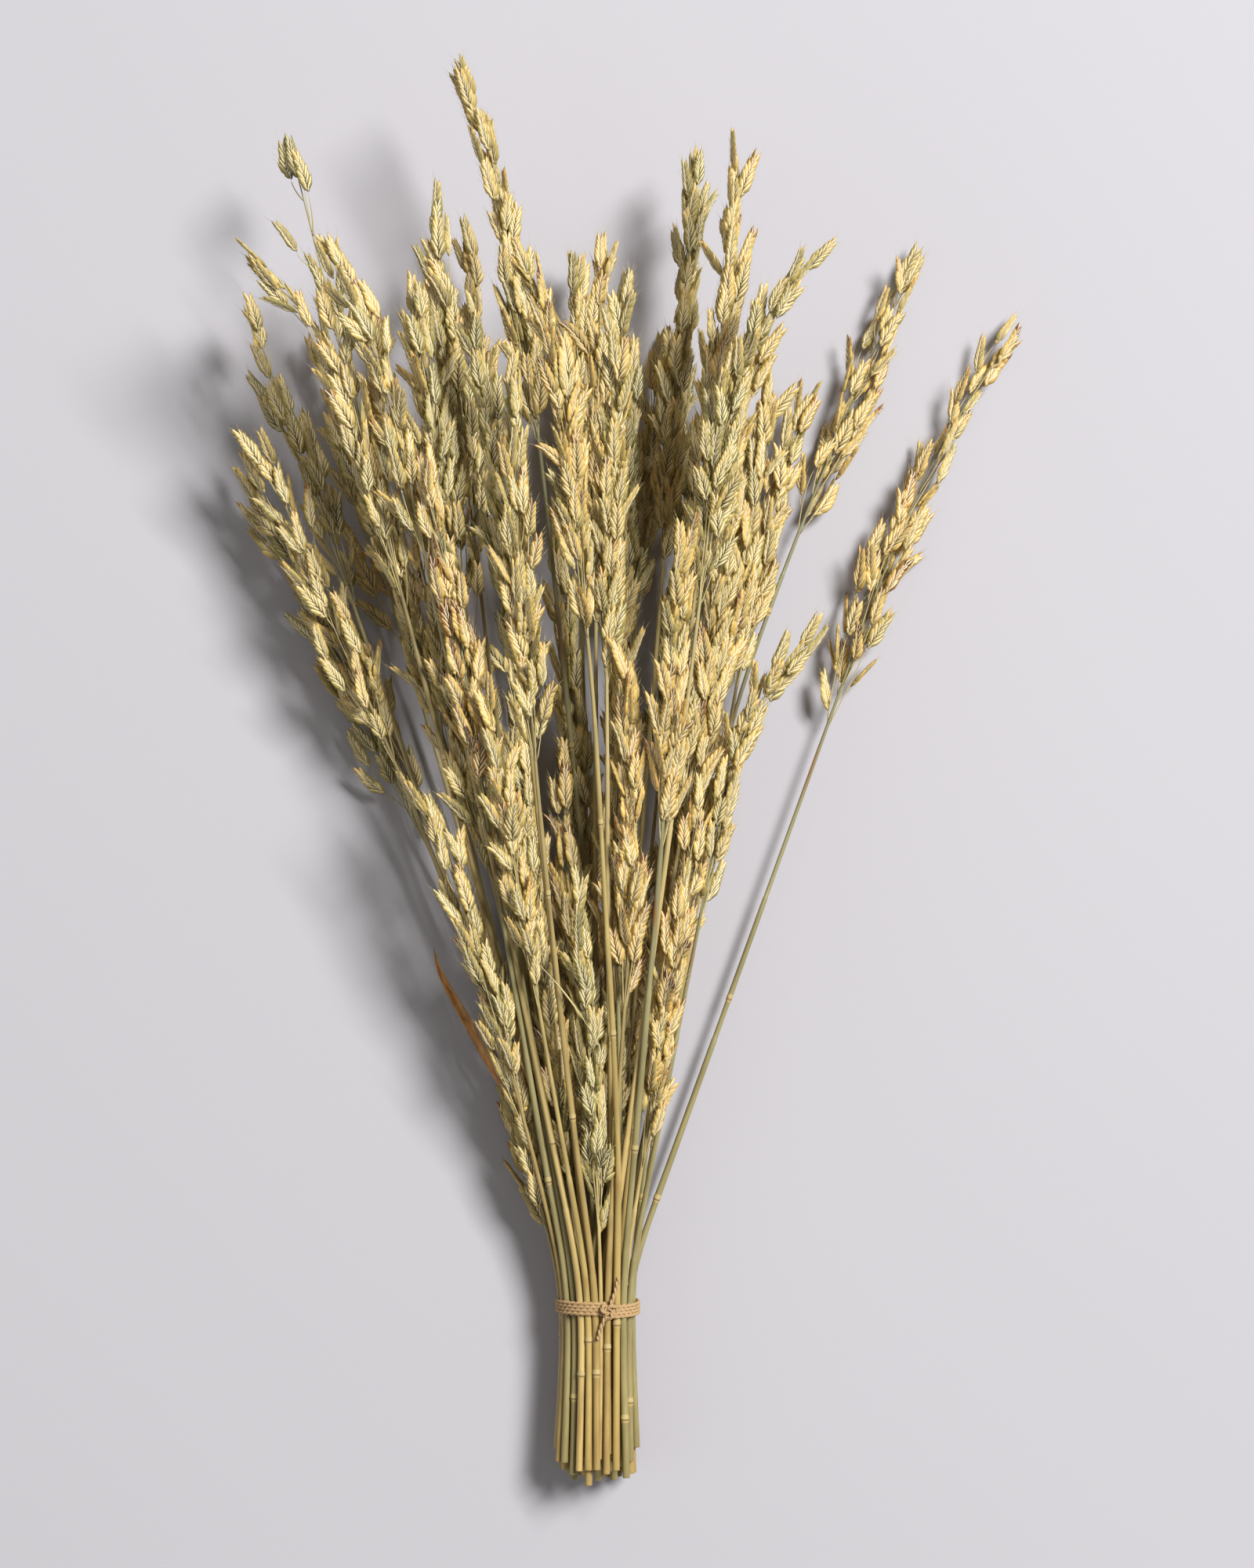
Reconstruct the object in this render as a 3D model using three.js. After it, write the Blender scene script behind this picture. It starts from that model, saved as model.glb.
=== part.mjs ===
// A bundle of dried brome grass: cut stalks with nodding heads of spikelets,
// tied near their cut ends and laid on their side.
// Millimetres, +Z up. The stalks run along Y, heads towards +Y, and rest on Z = 0.
import * as THREE from 'three';

// The stalks
const stubLength = 80; // from the tie to the cut ends
const stubUnevenness = 9; // how far a cut end is from its neighbours', either way
const stubFlare = 0.3; // how much wider the bundle is at the cut ends, as a share
const cutRadius = 1.85; // of a straw where it was cut
const neckRadius = 0.9; // of a straw where its head begins
const headRadius = 9.5; // of a head of spikelets at its widest
const tipRadius = 2.2; // of the last spikelet, at the last ring before the tip
const knobbliness = 0.17; // how far the whorls of spikelets swell and shrink a head
const gap = 0.35; // left free between neighbours

// The tie
const waistFill = 0.66; // the share of the tie's inside that the straws take up
const tieWidth = 9;
const tieThickness = 2.4;
const tieClearance = 0.35;

// The one broad dry leaf, which curls away from an outer straw at this distance from the tie
const leafFoot = 102;
const leafLength = 80; // along the bundle
const leafWidth = 6.4;
const leafThickness = 0.7;
const leafHost = 5; // which of the outline stalks it grew on
const leafAway = 22; // how far its tip stands off that straw

// A withered thread of a leaf that lies slantwise over the straws
const threadFoot = 134;
const threadLength = 44; // along the bundle
const threadAcross = [1, -31]; // where it runs from and to, sideways
const threadWidth = 1.7;
const threadThickness = 0.6;
const threadBow = 3;

// How finely a stalk is stepped
const headStep = 20;
const strawStep = 60;
const sideCount = 6;

// The stalks that make the outline, chosen by eye. lean and lift are sideways and upward
// travel for each millimetre of length, reach is from the tie to the tip, and head is the
// length that bears spikelets. Over its last stretch, bend, a tip nods sideways by nod.
const outlineStalks = [
  { lean: -0.085, reach: 618, head: 170, nod: -18, curl: 4, lift: 0.1 },
  { lean: -0.25, reach: 588, head: 150, nod: 0, curl: 2, lift: 0.08 },
  { lean: -0.25, reach: 523, head: 170, nod: -38, curl: 10, lift: 0.16 },
  { lean: -0.29, reach: 504, head: 150, nod: -20, curl: 1.5, lift: 0.05, bend: 400 },
  { lean: -0.28, reach: 435, head: 150, nod: -39, curl: 1.3, lift: 0.09, bend: 330 },
  { lean: -0.29, reach: 426, head: 152, nod: -53, curl: 1.5, lift: 0.03, bend: 231 },
  { lean: -0.28, reach: 375, head: 130, nod: -47, curl: 1.4, lift: 0, bend: 270 },
  { lean: -0.28, reach: 487, head: 150, nod: 0, curl: 2, lift: 0.01 },
  { lean: -0.2, reach: 534, head: 160, nod: -18, curl: 4, lift: 0.17 },
  { lean: -0.225, reach: 499, head: 160, nod: 4, curl: 3, lift: 0.12 },
  { lean: -0.17, reach: 514, head: 170, nod: 0, curl: 2, lift: 0.16 },
  { lean: -0.17, reach: 538, head: 140, nod: 16, curl: 3, lift: 0.05 },
  { lean: -0.134, reach: 552, head: 170, nod: 0, curl: 2, lift: 0.13 },
  { lean: -0.12, reach: 544, head: 150, nod: 3, curl: 3, lift: 0.02 },
  { lean: -0.1, reach: 496, head: 180, nod: -6, curl: 3, lift: 0.2 },
  { lean: -0.026, reach: 526, head: 180, nod: -24, curl: 4, lift: 0.19 },
  { lean: -0.02, reach: 536, head: 160, nod: 0, curl: 2, lift: 0.03 },
  { lean: 0.003, reach: 529, head: 150, nod: 2, curl: 2, lift: 0.09 },
  { lean: 0.01, reach: 504, head: 190, nod: 7, curl: 3, lift: 0.18 },
  { lean: 0.03, reach: 481, head: 150, nod: 0, curl: 2, lift: 0.05 },
  { lean: 0.055, reach: 484, head: 150, nod: 4, curl: 3, lift: 0.01 },
  { lean: 0.082, reach: 583, head: 200, nod: 0, curl: 2, lift: 0.05 },
  { lean: 0.12, reach: 577, head: 190, nod: -3, curl: 2, lift: 0.12 },
  { lean: 0.125, reach: 523, head: 170, nod: 40, curl: 5, lift: 0.19 },
  { lean: 0.14, reach: 496, head: 160, nod: 18, curl: 4, lift: 0.09 },
  { lean: 0.17, reach: 475, head: 160, nod: 0, curl: 2, lift: 0.05 },
  { lean: 0.19, reach: 465, head: 150, nod: 9, curl: 3, lift: 0.02 },
  { lean: 0.19, reach: 337, head: 140, nod: 30, curl: 6, lift: 0.14 },
  { lean: 0.2, reach: 535, head: 143, nod: 50, curl: 1.3, lift: 0, bend: 255 },
  { lean: 0.36, reach: 495, head: 205, nod: 24, curl: 4, lift: 0 },
];

// The stalks that fill the bundle, in three clumps side by side. Each value runs
// between its two ends, and the steps are spread so that neighbours differ.
const clumps = [
  { count: 14, lean: [-0.25, -0.04], reach: [172, 475], lift: [0.01, 0.21] },
  { count: 4, lean: [-0.03, 0.04], reach: [165, 440], lift: [0.03, 0.19] },
  { count: 9, lean: [0.05, 0.19], reach: [185, 470], lift: [0.01, 0.2] },
];
const fillHead = [150, 200];
const fillNod = [-14, 14];
const fillStray = 9; // how far from its fair place at the waist one of these may start

const strawColour = 0xb9a468;
const leafColour = 0x9a5a22;
const tieColour = 0xb28a56;

const mix = THREE.MathUtils.lerp;
const clamp = THREE.MathUtils.clamp;
const spread = (index, stride) => (index * stride) % 1;

// The waist, where the straws run straight through the tie for waistHalf either way
const waistHalf = headStep / 2;
const stalkCount = clumps.reduce((sum, clump) => sum + clump.count, outlineStalks.length);
const waistRadius = (cutRadius + gap / 2) * Math.sqrt(stalkCount / waistFill);
const waistHeight = waistRadius + tieClearance + tieThickness; // of the bundle's middle there
const waistPlaces = { x: 30, z: 75 }; // how far out a stalk starts for each unit of lean and lift
const middleLift = 0.1;

// How long the stalks are pushed apart, and how much of that without straightening them
const settleRounds = 420;
const looseRounds = 90;
const sampleStep = 5;
const stiffness = 0.25;

function fillStalks() {
  const stalks = [];
  for (const clump of clumps) {
    for (let i = 0; i < clump.count; i += 1) {
      stalks.push({
        lean: mix(...clump.lean, spread(i + 1, 0.618)),
        reach: mix(...clump.reach, (i + 0.5) / clump.count),
        head: mix(...fillHead, spread(i, 0.37)),
        nod: mix(...fillNod, spread(i, 0.755)),
        curl: 3,
        lift: mix(...clump.lift, spread(i + 1, 0.57)),
        stray: mix(-fillStray, fillStray, spread(i, 0.29)),
      });
    }
  }
  return stalks;
}

// The radius of a stalk at y: a straw that thins towards its neck, then a spindle that
// swells and shrinks from whorl to whorl.
function radiusAt(stalk, y) {
  const along = clamp((y - stalk.base) / (stalk.neck - stalk.base), 0, 1);
  const straw = mix(cutRadius, neckRadius, along);
  if (y <= stalk.neck) {
    return straw;
  }
  const u = (y - stalk.neck) / (stalk.reach - stalk.neck);
  const swell = Math.sin(Math.PI * u ** 0.75) ** 0.7;
  const whorl = 1 + knobbliness * Math.cos(Math.PI * Math.round((y - waistHalf) / headStep));
  return mix(straw, tipRadius, u) + (headRadius - tipRadius) * swell * whorl;
}

// A stalk with its rings: where each one is along Y, its radius, and its middle in X and Z.
// Rings are close together in the head and far apart on the straw.
function planStalk(shape, index) {
  const uneven = stubUnevenness * (2 * spread(index, 0.43) - 1);
  const stalk = { ...shape, base: -stubLength + uneven, neck: shape.reach - shape.head };
  stalk.y = [stalk.base];
  for (let y = -waistHalf; y < stalk.reach - headStep / 3; y += headStep) {
    const isHead = y > stalk.neck - headStep;
    if (isHead || Math.abs(y) === waistHalf || (y - waistHalf) % strawStep === 0) {
      stalk.y.push(y);
    }
  }
  stalk.y.push(stalk.reach);
  stalk.radius = stalk.y.map((y) => radiusAt(stalk, Math.min(y, stalk.reach - headStep / 3)));
  const bend = shape.bend ?? shape.head;
  const waistX = waistPlaces.x * shape.lean + (shape.stray ?? 0);
  const waistZ = waistPlaces.z * (shape.lift - middleLift);
  const flare = (y) => 1 + stubFlare * Math.max(-y / stubLength, 0);
  stalk.x = stalk.y.map((y) => {
    const turn = clamp((y - shape.reach + bend) / bend, 0, 1) ** shape.curl;
    return waistX * flare(y) + shape.lean * Math.max(y, 0) + shape.nod * turn;
  });
  stalk.z = stalk.y.map((y) => waistHeight + waistZ * flare(y) + shape.lift * Math.max(y, 0));
  stalk.isTied = true;
  return stalk;
}

// The broad leaf takes its place among the stalks too, as a slim body beside its host.
function planLeaf(host) {
  const steps = 8;
  const leaf = { base: leafFoot, reach: leafFoot + leafLength, isTied: false };
  const shares = Array.from({ length: steps + 1 }, (_, k) => k / steps);
  leaf.y = shares.map((share) => mix(leaf.base, leaf.reach, share));
  leaf.radius = shares.map((share) => leafHalfWidth(share) + leafThickness / 2);
  leaf.x = leaf.y.map((y, k) => {
    const beside = -host.radius[1] - leaf.radius[k];
    return lineAt(host, y, 'x') + beside - leafAway * shares[k] ** 1.6;
  });
  leaf.z = leaf.y.map((y, k) => lineAt(host, y, 'z') + leafWidth * shares[k]);
  return leaf;
}

// A blade widens quickly from its foot and narrows slowly to a point.
function leafHalfWidth(share) {
  return (leafWidth / 2) * Math.min(1, 0.45 + 2.5 * share) * (1 - share ** 3) ** 0.8 + 0.2;
}

function lineAt(stalk, y, axis) {
  return middle({ stalk, ...between(stalk, y) }, axis);
}

// Where y falls between two rings of a stalk: the lower one and the share of the upper.
function between(stalk, y) {
  let lower = 0;
  while (stalk.y[lower + 1] < y) {
    lower += 1;
  }
  const share = (y - stalk.y[lower]) / (stalk.y[lower + 1] - stalk.y[lower]);
  return { lower, share, radius: mix(stalk.radius[lower], stalk.radius[lower + 1], share) };
}

// Pushes the stalks apart until none touch. Every ring of a stalk is level, so at each
// height along Y the stalks are discs that must keep clear of each other.
function settle(stalks) {
  const levels = [];
  const farthest = Math.max(...stalks.map((stalk) => stalk.reach));
  for (let y = -stubLength - stubUnevenness; y < farthest; y += sampleStep) {
    const present = stalks.filter((stalk) => stalk.base <= y && y <= stalk.reach);
    levels.push(present.map((stalk) => ({ stalk, ...between(stalk, y) })));
  }
  for (const stalk of stalks) {
    stalk.start = { x: [...stalk.x], z: [...stalk.z] };
  }
  for (let round = 0; round < settleRounds; round += 1) {
    for (const level of levels) {
      pushApart(level);
    }
    const isLoose = round > settleRounds - looseRounds;
    for (const stalk of stalks) {
      if (!isLoose) {
        straighten(stalk);
      }
      if (stalk.isTied) {
        holdAtWaist(stalk);
      }
      keepOffFloor(stalk);
    }
  }
}

function pushApart(level) {
  for (let i = 1; i < level.length; i += 1) {
    for (let j = 0; j < i; j += 1) {
      const a = level[i];
      const b = level[j];
      const need = a.radius + b.radius + gap;
      const dx = middle(a, 'x') - middle(b, 'x');
      const dz = middle(a, 'z') - middle(b, 'z');
      const distance = Math.hypot(dx, dz);
      if (distance < need) {
        const push = (need - distance) / 2;
        const nx = distance > 0.01 ? dx / distance : 0;
        const nz = distance > 0.01 ? dz / distance : 1;
        shift(a, nx * push, nz * push);
        shift(b, -nx * push, -nz * push);
      }
    }
  }
}

function middle(sample, axis) {
  const places = sample.stalk[axis];
  return mix(places[sample.lower], places[sample.lower + 1], sample.share);
}

function shift(sample, byX, byZ) {
  const { stalk, lower, share } = sample;
  const rest = 1 - share;
  const scale = 1 / (rest * rest + share * share);
  stalk.x[lower] += byX * rest * scale;
  stalk.x[lower + 1] += byX * share * scale;
  stalk.z[lower] += byZ * rest * scale;
  stalk.z[lower + 1] += byZ * share * scale;
}

// A straw is stiff, so what moves one ring also moves its neighbours.
function straighten(stalk) {
  for (const axis of ['x', 'z']) {
    const places = stalk[axis];
    const moved = places.map((place, k) => place - stalk.start[axis][k]);
    const last = places.length - 1;
    for (let k = 1; k < last; k += 1) {
      places[k] += stiffness * ((moved[k - 1] + moved[k + 1]) / 2 - moved[k]);
    }
    places[last] += stiffness * (moved[last - 1] - moved[last]);
    places[0] += stiffness * (moved[1] - moved[0]);
  }
}

function holdAtWaist(stalk) {
  const x = (stalk.x[1] + stalk.x[2]) / 2;
  const z = (stalk.z[1] + stalk.z[2]) / 2 - waistHeight;
  const room = waistRadius - stalk.radius[1];
  const squeeze = Math.min(1, room / Math.hypot(x, z));
  for (const k of [1, 2]) {
    stalk.x[k] = x * squeeze;
    stalk.z[k] = waistHeight + z * squeeze;
  }
}

function keepOffFloor(stalk) {
  for (let k = 0; k < stalk.z.length; k += 1) {
    stalk.z[k] = Math.max(stalk.z[k], stalk.radius[k]);
  }
}

// A lathed stalk whose rings are then slid sideways onto its line.
function stalkGeometry(stalk) {
  const profile = [new THREE.Vector2(0, stalk.base)];
  const slides = [0];
  for (let k = 0; k < stalk.y.length - 1; k += 1) {
    profile.push(new THREE.Vector2(stalk.radius[k], stalk.y[k]));
    slides.push(k);
  }
  profile.push(new THREE.Vector2(0, stalk.reach));
  slides.push(stalk.y.length - 1);
  const geometry = new THREE.LatheGeometry(profile, sideCount);
  const position = geometry.attributes.position;
  for (let v = 0; v < position.count; v += 1) {
    const k = slides[v % profile.length];
    position.setX(v, position.getX(v) + stalk.x[k]);
    position.setZ(v, position.getZ(v) + stalk.z[k]);
  }
  return geometry;
}

// A ring around the waist with a rounded section, as the turns of a tie lie side by side.
function tieGeometry() {
  const inner = waistRadius + tieClearance;
  const half = tieWidth / 2;
  const round = tieThickness / 2;
  const profile = [
    [inner, -half + round],
    [inner + round, -half],
    [inner + tieThickness, -half + round],
    [inner + tieThickness, half - round],
    [inner + round, half],
    [inner, half - round],
    [inner, -half + round],
  ];
  const geometry = new THREE.LatheGeometry(
    profile.map(([radius, y]) => new THREE.Vector2(radius, y)),
    32,
  );
  return geometry.translate(0, 0, waistHeight);
}

// A blade: a thin bar whose cross-sections are carried along a line, creased along the
// middle and twisted. place gives a section's middle, its width and its turn.
function bladeGeometry(thickness, place) {
  const geometry = new THREE.BoxGeometry(1, 1, 1, 2, 14, 1);
  const position = geometry.attributes.position;
  for (let v = 0; v < position.count; v += 1) {
    const { at, width, turn } = place(position.getY(v) + 0.5);
    const across = position.getX(v) * width;
    const crease = 0.14 * (width - 2 * Math.abs(across));
    const through = position.getZ(v) * thickness - crease;
    position.setXYZ(
      v,
      at.x + across * Math.cos(turn) - through * Math.sin(turn),
      at.y,
      at.z + across * Math.sin(turn) + through * Math.cos(turn),
    );
  }
  return geometry;
}

// The broad leaf stands on edge where it clasps its straw and lies flatter towards its tip.
function leafGeometry(leaf) {
  return bladeGeometry(leafThickness, (share) => {
    const y = mix(leaf.base, leaf.reach, share);
    const at = new THREE.Vector3(lineAt(leaf, y, 'x'), y, lineAt(leaf, y, 'z'));
    const turn = Math.PI * (0.45 - 0.6 * share);
    return { at, width: 2 * leafHalfWidth(share) - 2 * leafThickness * share, turn };
  });
}

// The thread lies on the straws that it crosses. It is straight but for its bow, rises as
// steeply as they do from its foot to its tip, and rests on the one that stands proudest.
function threadGeometry(stalks) {
  const along = (share) => threadFoot + threadLength * share;
  const across = (share) => mix(...threadAcross, share) + threadBow * Math.sin(Math.PI * share);
  const topAt = (share) => {
    const under = stalks.filter((stalk) => {
      const isLongEnough = stalk.reach > along(share);
      const aside = isLongEnough ? Math.abs(lineAt(stalk, along(share), 'x') - across(share)) : 0;
      return isLongEnough && aside < between(stalk, along(share)).radius + threadWidth;
    });
    return Math.max(
      0,
      ...under.map((stalk) => lineAt(stalk, along(share), 'z') + between(stalk, along(share)).radius),
    );
  };
  const rise = topAt(1) - topAt(0);
  const shares = Array.from({ length: 49 }, (_, k) => k / 48);
  const rest = Math.max(...shares.map((share) => topAt(share) - rise * share));
  return bladeGeometry(threadThickness, (share) => {
    const z = rest + rise * share + gap + threadWidth / 2;
    const at = new THREE.Vector3(across(share), along(share), z);
    return { at, width: threadWidth * (1 - 0.6 * share), turn: share * 2 };
  });
}

const material = (color) => new THREE.MeshStandardMaterial({ color, roughness: 0.85, metalness: 0 });

function named(name, geometry, color) {
  const mesh = new THREE.Mesh(geometry, material(color));
  mesh.name = name;
  return mesh;
}

const stalks = [...outlineStalks, ...fillStalks()].map(planStalk);
const leaf = planLeaf(stalks[leafHost]);
settle([...stalks, leaf]);

const bundle = new THREE.Group();
stalks.forEach((stalk, index) => {
  const number = String(index + 1).padStart(2, '0');
  bundle.add(named(`stalk_${number}`, stalkGeometry(stalk), strawColour));
});
bundle.add(named('dry_leaf', leafGeometry(leaf), leafColour));
bundle.add(named('withered_thread', threadGeometry(stalks), strawColour));
bundle.add(named('tie', tieGeometry(), tieColour));

// The origin is under the middle of the whole bundle, on the surface that it lies on.
const box = new THREE.Box3().setFromObject(bundle);
const centre = box.getCenter(new THREE.Vector3());
bundle.position.set(-centre.x, -centre.y, -box.min.z);

export default bundle;
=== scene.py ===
import bpy
import numpy as np
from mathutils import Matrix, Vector


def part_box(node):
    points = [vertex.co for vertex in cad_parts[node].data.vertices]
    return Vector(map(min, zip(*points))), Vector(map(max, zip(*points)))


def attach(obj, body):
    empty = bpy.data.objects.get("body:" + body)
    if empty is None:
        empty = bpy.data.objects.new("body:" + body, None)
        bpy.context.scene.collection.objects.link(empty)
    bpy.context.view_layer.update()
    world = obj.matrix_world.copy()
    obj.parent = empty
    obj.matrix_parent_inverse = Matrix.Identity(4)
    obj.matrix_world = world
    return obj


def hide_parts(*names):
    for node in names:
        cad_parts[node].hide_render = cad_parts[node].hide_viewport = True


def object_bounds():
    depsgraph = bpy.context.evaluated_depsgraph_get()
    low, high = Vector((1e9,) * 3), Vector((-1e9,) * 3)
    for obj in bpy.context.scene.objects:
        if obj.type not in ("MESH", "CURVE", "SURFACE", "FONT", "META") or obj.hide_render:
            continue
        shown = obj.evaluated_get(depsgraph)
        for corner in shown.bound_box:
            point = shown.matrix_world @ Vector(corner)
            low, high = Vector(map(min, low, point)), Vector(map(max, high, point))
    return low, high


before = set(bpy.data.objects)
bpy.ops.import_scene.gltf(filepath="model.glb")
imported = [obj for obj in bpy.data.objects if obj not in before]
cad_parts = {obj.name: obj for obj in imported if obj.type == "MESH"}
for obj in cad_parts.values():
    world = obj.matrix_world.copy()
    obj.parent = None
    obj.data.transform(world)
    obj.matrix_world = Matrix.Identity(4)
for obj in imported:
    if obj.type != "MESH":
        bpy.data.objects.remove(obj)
cad_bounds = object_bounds()
low, high = (np.array(corner) for corner in cad_bounds)
MM = 0.001


# The view. The bundle lies on its side and is looked at from straight above, with its
# heads towards the top of the view and its cut ends at the bottom.
VIEW_DISTANCE = 2.1
VIEW_MARGIN = 0.05

view_length = (high[1] - low[1]) * (1 + 2 * VIEW_MARGIN)
lens = bpy.data.cameras.new("view from above")
lens.sensor_fit = "VERTICAL"
lens.sensor_height = 36
lens.lens = lens.sensor_height * VIEW_DISTANCE / view_length
camera = bpy.data.objects.new("view from above", lens)
middle = (low + high) / 2
camera.location = (middle[0], middle[1], middle[2] + VIEW_DISTANCE)
bpy.context.collection.objects.link(camera)
bpy.context.scene.camera = camera


# The surface under the bundle and the light: a pale matt table, a large soft window
# light from the upper right, and a weaker one from the left.
FLOOR_COLOUR = (0.46, 0.445, 0.47, 1)
FLOOR_ROUGHNESS = 0.9
FLOOR_SIZE = 40
WINDOW = {"place": (2.7, 2.1, 4.5), "size": 1.7, "power": 500}
REFLECTOR = {"place": (-3.9, -1.2, 3.3), "size": 4.2, "power": 36}
ROOM_COLOUR = (1, 0.99, 0.98, 1)
ROOM_LIGHT = 0.22


def soft_light(name, place, size, power):
    """A square area light at place that points at the bundle's middle."""
    light = bpy.data.lights.new(name, "AREA")
    light.size = size
    light.energy = power
    lamp = bpy.data.objects.new(name, light)
    lamp.location = place
    aim = Vector(middle - np.array(place))
    lamp.rotation_euler = aim.to_track_quat("-Z", "Y").to_euler()
    bpy.context.collection.objects.link(lamp)


soft_light("window", **WINDOW)
soft_light("reflector", **REFLECTOR)

bpy.context.scene.view_settings.view_transform = "Standard"
world = bpy.data.worlds.new("room")
world.use_nodes = True
backdrop = world.node_tree.nodes["Background"]
backdrop.inputs["Color"].default_value = ROOM_COLOUR
backdrop.inputs["Strength"].default_value = ROOM_LIGHT
bpy.context.scene.world = world

bpy.ops.mesh.primitive_plane_add(size=FLOOR_SIZE)
floor = bpy.context.object
floor.name = "table"
floor_paint = bpy.data.materials.new("table")
floor_paint.use_nodes = True
floor_shader = floor_paint.node_tree.nodes["Principled BSDF"]
floor_shader.inputs["Base Color"].default_value = FLOOR_COLOUR
floor_shader.inputs["Roughness"].default_value = FLOOR_ROUGHNESS
floor.data.materials.append(floor_paint)


# The straws. Each is a hollow grass stem, cut square at its foot, with a few swollen
# joints and the remains of a leaf sheath above each joint. It thins towards its head and
# runs on through the head as a fine stalk.
STRAW_SIDES = 10
STRAW_RING_STEP = 9 * MM
STRAW_WALL = 0.32
HOLLOW_DEPTH = 9 * MM
JOINT_SPACING = (105 * MM, 175 * MM)
JOINT_LENGTH = 2.8 * MM
JOINT_RINGS = np.array([-0.7, -0.4, -0.12, 0.12, 0.45, 0.8])
JOINT_SWELL = 1.22
FIRST_JOINT = (0.25, 1.5)
LAST_JOINT = 40 * MM
SHEATH_LENGTH = (45 * MM, 95 * MM)
SHEATH_STEP = 0.3 * MM
BARE_NECK = 20 * MM
SHEATH_WALL = 0.16 * MM
HEAD_STALK_TIP = 0.25 * MM
LINE_STEP = 2 * MM
LINE_SMOOTHING = 22 * MM


def rings_of(node):
    """The level rings of a solid that was drawn out along Y, from foot to tip: each ring's
    middle is the mean of its corners, and its radius is how far the farthest corner is from
    that."""
    corners = np.empty(len(node.data.vertices) * 3)
    node.data.vertices.foreach_get("co", corners)
    corners = np.unique(corners.reshape(-1, 3).round(6), axis=0)
    level, ring = np.unique(corners[:, 1], return_inverse=True)
    count = np.bincount(ring)
    centres = np.stack([np.bincount(ring, corners[:, k]) / count for k in range(3)], axis=1)
    radius = np.zeros(len(level))
    np.maximum.at(radius, ring, np.linalg.norm(corners - centres[ring], axis=1))
    return centres, radius


def line_through(centres, smoothing):
    """A smooth line through ring middles. It runs straight from ring to ring in fine steps,
    then each point becomes the weighted mean of those within reach of it, by a bell curve.
    Returns the distance along, the points, and the unit vectors along, across and up."""
    y = np.arange(centres[0, 1], centres[-1, 1], LINE_STEP)
    y = np.append(y, centres[-1, 1])
    points = np.stack([np.interp(y, centres[:, 1], centres[:, k]) for k in range(3)], axis=1)
    reach = int(2 * smoothing / LINE_STEP)
    bell = np.exp(-0.5 * (np.arange(-reach, reach + 1) * LINE_STEP / smoothing) ** 2)
    bell /= bell.sum()
    first = 2 * points[0] - points[reach:0:-1]
    last = 2 * points[-1] - points[-2 : -reach - 2 : -1]
    padded = np.concatenate([first, points, last])
    points = np.stack([np.convolve(padded[:, k], bell, "valid") for k in range(3)], axis=1)
    step = np.linalg.norm(np.diff(points, axis=0), axis=1)
    far = np.concatenate([[0], np.cumsum(step)])
    way = unit(np.gradient(points, far, axis=0))
    across = unit(np.cross(way, (0, 0, 1)))
    return {"far": far, "at": points, "way": way, "across": across, "up": np.cross(across, way)}


def unit(vectors):
    """Each vector divided by its own length."""
    return vectors / np.linalg.norm(vectors, axis=-1, keepdims=True)


def on_line(line, far, what="at"):
    """A line's points, or its unit vectors, at these distances along it. Past an end, points
    run on straight."""
    found = np.stack([np.interp(far, line["far"], line[what][:, k]) for k in range(3)], axis=-1)
    if what == "at":
        beyond = np.maximum(far - line["far"][-1], 0) + np.minimum(far, 0)
        found = found + beyond[..., None] * on_line(line, far, "way")
        return found
    return unit(found)


def rings_along(line, far, radius, sides):
    """Rings of points round a line: point j of ring k stands radius[k] off the line at far[k],
    turned by j of the ring's sides from across towards up."""
    turn = 2 * np.pi * np.arange(sides) / sides
    spokes = np.cos(turn)[:, None] * on_line(line, far, "across")[..., None, :]
    spokes = spokes + np.sin(turn)[:, None] * on_line(line, far, "up")[..., None, :]
    return on_line(line, far)[..., None, :] + radius[..., None, None] * spokes


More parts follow.
